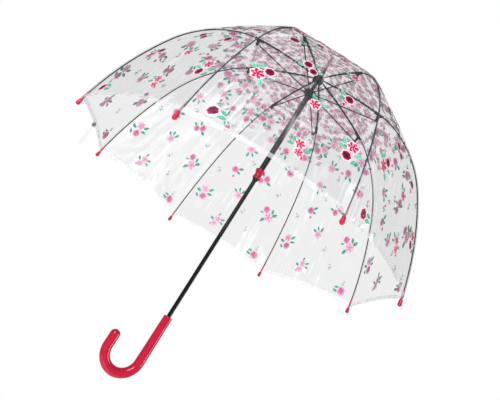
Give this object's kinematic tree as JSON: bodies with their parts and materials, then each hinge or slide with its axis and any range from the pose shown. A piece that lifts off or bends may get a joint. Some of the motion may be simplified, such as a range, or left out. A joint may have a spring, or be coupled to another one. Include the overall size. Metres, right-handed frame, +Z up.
{
  "type": "clear bubble umbrella",
  "caption": "Deep clear dome umbrella with jointed ribs, a sliding runner with a grip and a J-shaped crook handle.",
  "frame": {"origin": "on the shaft axis at the height of the handle's lowest point", "axes": "+Z up the shaft to the ferrule, +X towards the open end of the handle's crook, rib 1 over +X and the others every 45 degrees"},
  "size_m": [0.862, 0.862, 0.958],
  "materials": {
    "black_enamel": "gloss",
    "black_rod": "satin",
    "black_plastic": "satin",
    "crimson_plastic": "gloss",
    "dark_red_plastic": "gloss",
    "steel": "satin",
    "clear_film": "gloss"
  },
  "bodies": {
    "frame": {"shaft_tube": "black_enamel", "handle": "crimson_plastic", "handle_pin": "steel", "crown_notch": "black_plastic", "crown_ring": "steel", "crown_pin": "steel", "canopy": "clear_film", "top_washer": "dark_red_plastic", "ferrule": "dark_red_plastic", "stop_pin": "steel"},
    "runner": {"runner_sleeve": "black_plastic", "runner_grip": "crimson_plastic", "runner_hub": "black_plastic", "runner_ring": "steel"},
    "top_catch": {"top_spring": "steel"},
    "bottom_catch": {"bottom_spring": "steel"},
    "strap": {"tie_strap": "clear_film", "snap_socket": "steel", "snap_stud": "steel"},
    "upper_1": {"upper_rib_1": "black_enamel", "rib_joint_1": "black_plastic"},
    "lower_1": {"lower_rib_1": "black_rod", "tip_1": "crimson_plastic"},
    "stretch_1": {"stretcher_1": "black_enamel"},
    "upper_2": {"upper_rib_2": "black_enamel", "rib_joint_2": "black_plastic"},
    "lower_2": {"lower_rib_2": "black_rod", "tip_2": "crimson_plastic"},
    "stretch_2": {"stretcher_2": "black_enamel"},
    "upper_3": {"upper_rib_3": "black_enamel", "rib_joint_3": "black_plastic"},
    "lower_3": {"lower_rib_3": "black_rod", "tip_3": "crimson_plastic"},
    "stretch_3": {"stretcher_3": "black_enamel"},
    "upper_4": {"upper_rib_4": "black_enamel", "rib_joint_4": "black_plastic"},
    "lower_4": {"lower_rib_4": "black_rod", "tip_4": "crimson_plastic"},
    "stretch_4": {"stretcher_4": "black_enamel"},
    "upper_5": {"upper_rib_5": "black_enamel", "rib_joint_5": "black_plastic"},
    "lower_5": {"lower_rib_5": "black_rod", "tip_5": "crimson_plastic"},
    "stretch_5": {"stretcher_5": "black_enamel"},
    "upper_6": {"upper_rib_6": "black_enamel", "rib_joint_6": "black_plastic"},
    "lower_6": {"lower_rib_6": "black_rod", "tip_6": "crimson_plastic"},
    "stretch_6": {"stretcher_6": "black_enamel"},
    "upper_7": {"upper_rib_7": "black_enamel", "rib_joint_7": "black_plastic"},
    "lower_7": {"lower_rib_7": "black_rod", "tip_7": "crimson_plastic"},
    "stretch_7": {"stretcher_7": "black_enamel"},
    "upper_8": {"upper_rib_8": "black_enamel", "rib_joint_8": "black_plastic"},
    "lower_8": {"lower_rib_8": "black_rod", "tip_8": "crimson_plastic"},
    "stretch_8": {"stretcher_8": "black_enamel"}
  },
  "joints": [
    {"name": "runner_slide", "type": "slide", "parent": "frame", "child": "runner", "axis": [0, 0, 1], "range_m": [-0.31109, 0]},
    {"name": "upper_rib_swing_1", "type": "hinge", "parent": "frame", "child": "upper_1", "pos_m": [0.011, 0, 0.877], "axis": [0, 1, 0], "range_deg": [0, 69.96]},
    {"name": "lower_rib_swing_1", "type": "hinge", "parent": "upper_1", "child": "lower_1", "pos_m": [0.19908, 0, 0.8353], "axis": [0, 1, 0], "range_deg": [-38.53, 0]},
    {"name": "stretcher_swing_1", "type": "hinge", "parent": "runner", "child": "stretch_1", "pos_m": [0.013, 0, 0.828], "axis": [0, 1, 0], "range_deg": [-89.67, 0]},
    {"name": "upper_rib_swing_2", "type": "hinge", "parent": "frame", "child": "upper_2", "pos_m": [0.00778, 0.00778, 0.877], "axis": [-0.7071, 0.7071, 0], "range_deg": [0, 69.96]},
    {"name": "lower_rib_swing_2", "type": "hinge", "parent": "upper_2", "child": "lower_2", "pos_m": [0.14077, 0.14077, 0.8353], "axis": [-0.7071, 0.7071, 0], "range_deg": [-38.53, 0]},
    {"name": "stretcher_swing_2", "type": "hinge", "parent": "runner", "child": "stretch_2", "pos_m": [0.00919, 0.00919, 0.828], "axis": [-0.7071, 0.7071, 0], "range_deg": [-89.67, 0]},
    {"name": "upper_rib_swing_3", "type": "hinge", "parent": "frame", "child": "upper_3", "pos_m": [0, 0.011, 0.877], "axis": [-1, 0, 0], "range_deg": [0, 69.96]},
    {"name": "lower_rib_swing_3", "type": "hinge", "parent": "upper_3", "child": "lower_3", "pos_m": [0, 0.19908, 0.8353], "axis": [-1, 0, 0], "range_deg": [-38.53, 0]},
    {"name": "stretcher_swing_3", "type": "hinge", "parent": "runner", "child": "stretch_3", "pos_m": [0, 0.013, 0.828], "axis": [-1, 0, 0], "range_deg": [-89.67, 0]},
    {"name": "upper_rib_swing_4", "type": "hinge", "parent": "frame", "child": "upper_4", "pos_m": [-0.00778, 0.00778, 0.877], "axis": [-0.7071, -0.7071, 0], "range_deg": [0, 69.96]},
    {"name": "lower_rib_swing_4", "type": "hinge", "parent": "upper_4", "child": "lower_4", "pos_m": [-0.14077, 0.14077, 0.8353], "axis": [-0.7071, -0.7071, 0], "range_deg": [-38.53, 0]},
    {"name": "stretcher_swing_4", "type": "hinge", "parent": "runner", "child": "stretch_4", "pos_m": [-0.00919, 0.00919, 0.828], "axis": [-0.7071, -0.7071, 0], "range_deg": [-89.67, 0]},
    {"name": "upper_rib_swing_5", "type": "hinge", "parent": "frame", "child": "upper_5", "pos_m": [-0.011, 0, 0.877], "axis": [0, -1, 0], "range_deg": [0, 69.96]},
    {"name": "lower_rib_swing_5", "type": "hinge", "parent": "upper_5", "child": "lower_5", "pos_m": [-0.19908, 0, 0.8353], "axis": [0, -1, 0], "range_deg": [-38.53, 0]},
    {"name": "stretcher_swing_5", "type": "hinge", "parent": "runner", "child": "stretch_5", "pos_m": [-0.013, 0, 0.828], "axis": [0, -1, 0], "range_deg": [-89.67, 0]},
    {"name": "upper_rib_swing_6", "type": "hinge", "parent": "frame", "child": "upper_6", "pos_m": [-0.00778, -0.00778, 0.877], "axis": [0.7071, -0.7071, 0], "range_deg": [0, 69.96]},
    {"name": "lower_rib_swing_6", "type": "hinge", "parent": "upper_6", "child": "lower_6", "pos_m": [-0.14077, -0.14077, 0.8353], "axis": [0.7071, -0.7071, 0], "range_deg": [-38.53, 0]},
    {"name": "stretcher_swing_6", "type": "hinge", "parent": "runner", "child": "stretch_6", "pos_m": [-0.00919, -0.00919, 0.828], "axis": [0.7071, -0.7071, 0], "range_deg": [-89.67, 0]},
    {"name": "upper_rib_swing_7", "type": "hinge", "parent": "frame", "child": "upper_7", "pos_m": [0, -0.011, 0.877], "axis": [1, 0, 0], "range_deg": [0, 69.96]},
    {"name": "lower_rib_swing_7", "type": "hinge", "parent": "upper_7", "child": "lower_7", "pos_m": [0, -0.19908, 0.8353], "axis": [1, 0, 0], "range_deg": [-38.53, 0]},
    {"name": "stretcher_swing_7", "type": "hinge", "parent": "runner", "child": "stretch_7", "pos_m": [0, -0.013, 0.828], "axis": [1, 0, 0], "range_deg": [-89.67, 0]},
    {"name": "upper_rib_swing_8", "type": "hinge", "parent": "frame", "child": "upper_8", "pos_m": [0.00778, -0.00778, 0.877], "axis": [0.7071, 0.7071, 0], "range_deg": [0, 69.96]},
    {"name": "lower_rib_swing_8", "type": "hinge", "parent": "upper_8", "child": "lower_8", "pos_m": [0.14077, -0.14077, 0.8353], "axis": [0.7071, 0.7071, 0], "range_deg": [-38.53, 0]},
    {"name": "stretcher_swing_8", "type": "hinge", "parent": "runner", "child": "stretch_8", "pos_m": [0.00919, -0.00919, 0.828], "axis": [0.7071, 0.7071, 0], "range_deg": [-89.67, 0]},
    {"name": "top_catch_press", "type": "slide", "parent": "frame", "child": "top_catch", "axis": [0, 1, 0], "range_m": [0, 0.0015], "stiffness_N_per_m": 800},
    {"name": "bottom_catch_press", "type": "slide", "parent": "frame", "child": "bottom_catch", "axis": [0, 1, 0], "range_m": [0, 0.0015], "stiffness_N_per_m": 800},
    {"name": "strap_swing", "type": "hinge", "parent": "frame", "child": "strap", "pos_m": [0.36616, -0.15167, 0.46529], "axis": [0.3827, 0.9239, 0], "range_deg": [0, 80]}
  ],
  "couplings": [
    {"joint": "upper_rib_swing_1", "follows": "runner_slide", "rad_per_m": -3.9247},
    {"joint": "lower_rib_swing_1", "follows": "runner_slide", "rad_per_m": 2.1614},
    {"joint": "stretcher_swing_1", "follows": "runner_slide", "rad_per_m": 5.0309},
    {"joint": "upper_rib_swing_2", "follows": "runner_slide", "rad_per_m": -3.9247},
    {"joint": "lower_rib_swing_2", "follows": "runner_slide", "rad_per_m": 2.1614},
    {"joint": "stretcher_swing_2", "follows": "runner_slide", "rad_per_m": 5.0309},
    {"joint": "upper_rib_swing_3", "follows": "runner_slide", "rad_per_m": -3.9247},
    {"joint": "lower_rib_swing_3", "follows": "runner_slide", "rad_per_m": 2.1614},
    {"joint": "stretcher_swing_3", "follows": "runner_slide", "rad_per_m": 5.0309},
    {"joint": "upper_rib_swing_4", "follows": "runner_slide", "rad_per_m": -3.9247},
    {"joint": "lower_rib_swing_4", "follows": "runner_slide", "rad_per_m": 2.1614},
    {"joint": "stretcher_swing_4", "follows": "runner_slide", "rad_per_m": 5.0309},
    {"joint": "upper_rib_swing_5", "follows": "runner_slide", "rad_per_m": -3.9247},
    {"joint": "lower_rib_swing_5", "follows": "runner_slide", "rad_per_m": 2.1614},
    {"joint": "stretcher_swing_5", "follows": "runner_slide", "rad_per_m": 5.0309},
    {"joint": "upper_rib_swing_6", "follows": "runner_slide", "rad_per_m": -3.9247},
    {"joint": "lower_rib_swing_6", "follows": "runner_slide", "rad_per_m": 2.1614},
    {"joint": "stretcher_swing_6", "follows": "runner_slide", "rad_per_m": 5.0309},
    {"joint": "upper_rib_swing_7", "follows": "runner_slide", "rad_per_m": -3.9247},
    {"joint": "lower_rib_swing_7", "follows": "runner_slide", "rad_per_m": 2.1614},
    {"joint": "stretcher_swing_7", "follows": "runner_slide", "rad_per_m": 5.0309},
    {"joint": "upper_rib_swing_8", "follows": "runner_slide", "rad_per_m": -3.9247},
    {"joint": "lower_rib_swing_8", "follows": "runner_slide", "rad_per_m": 2.1614},
    {"joint": "stretcher_swing_8", "follows": "runner_slide", "rad_per_m": 5.0309}
  ]
}
